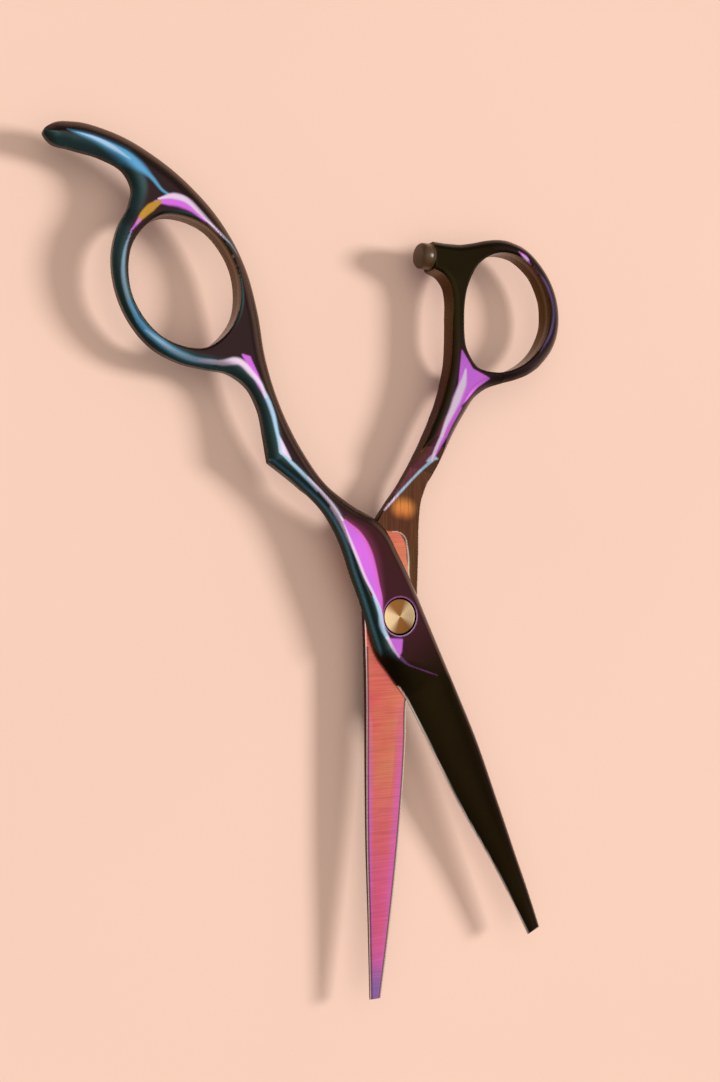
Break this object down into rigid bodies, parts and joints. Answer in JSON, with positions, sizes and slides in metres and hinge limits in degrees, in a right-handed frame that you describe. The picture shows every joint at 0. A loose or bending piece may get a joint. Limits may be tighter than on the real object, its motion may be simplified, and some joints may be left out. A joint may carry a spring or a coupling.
{
  "type": "hair cutting shears",
  "caption": "Hair cutting shears with a tang on the finger ring, a soft bumper on the thumb ring and a flush bearing pivot screw, shown partly open.",
  "frame": {"origin": "on the pivot axis, at the flat rear end of the pivot screw, which is the lowest point of the shears", "axes": "+Z along the pivot axis towards the screw head, +Y from the pivot to the handle rings, so the blades point to -Y; +X to the right, seen from the screw head"},
  "size_m": [0.1108, 0.1624, 0.0074],
  "materials": {
    "titanium_coat": "polished steel with an interference coat that runs from maroon to violet and blue",
    "turned_brass": "turned face, satin",
    "hardened_steel": "ground, bright",
    "cage_brass": "stamped, satin",
    "glide_polymer": "plain, slippery",
    "bumper_silicone": "translucent, moulded"
  },
  "bodies": {
    "thumb": {"thumb_half": "titanium_coat", "pivot_screw": "turned_brass", "upper_race": "hardened_steel", "glide_washer": "glide_polymer", "spring_washer": "hardened_steel", "bumper": "bumper_silicone"},
    "finger": {"finger_half": "titanium_coat", "lower_race": "hardened_steel"},
    "bearing": {"bearing_cage": "cage_brass", "bearing_ball_1": "hardened_steel", "bearing_ball_2": "hardened_steel", "bearing_ball_3": "hardened_steel", "bearing_ball_4": "hardened_steel", "bearing_ball_5": "hardened_steel", "bearing_ball_6": "hardened_steel", "bearing_ball_7": "hardened_steel", "bearing_ball_8": "hardened_steel"},
    "nut": {"tension_nut": "hardened_steel"}
  },
  "joints": [
    {"name": "blade_pivot", "type": "hinge", "parent": "thumb", "child": "finger", "pos_m": [0, 0, 0.00415], "axis": [0, 0, 1], "range_deg": [-30.5, 100]},
    {"name": "bearing_turn", "type": "hinge", "parent": "thumb", "child": "bearing", "pos_m": [0, 0, 0.00415], "axis": [0, 0, 1], "range_deg": [-15.25, 50]},
    {"name": "nut_turn", "type": "hinge", "parent": "thumb", "child": "nut", "pos_m": [0, 0, 0.00415], "axis": [0, 0, 1], "range_deg": [-90, 90]}
  ],
  "couplings": [
    {"joint": "bearing_turn", "follows": "blade_pivot", "ratio": 0.5}
  ]
}
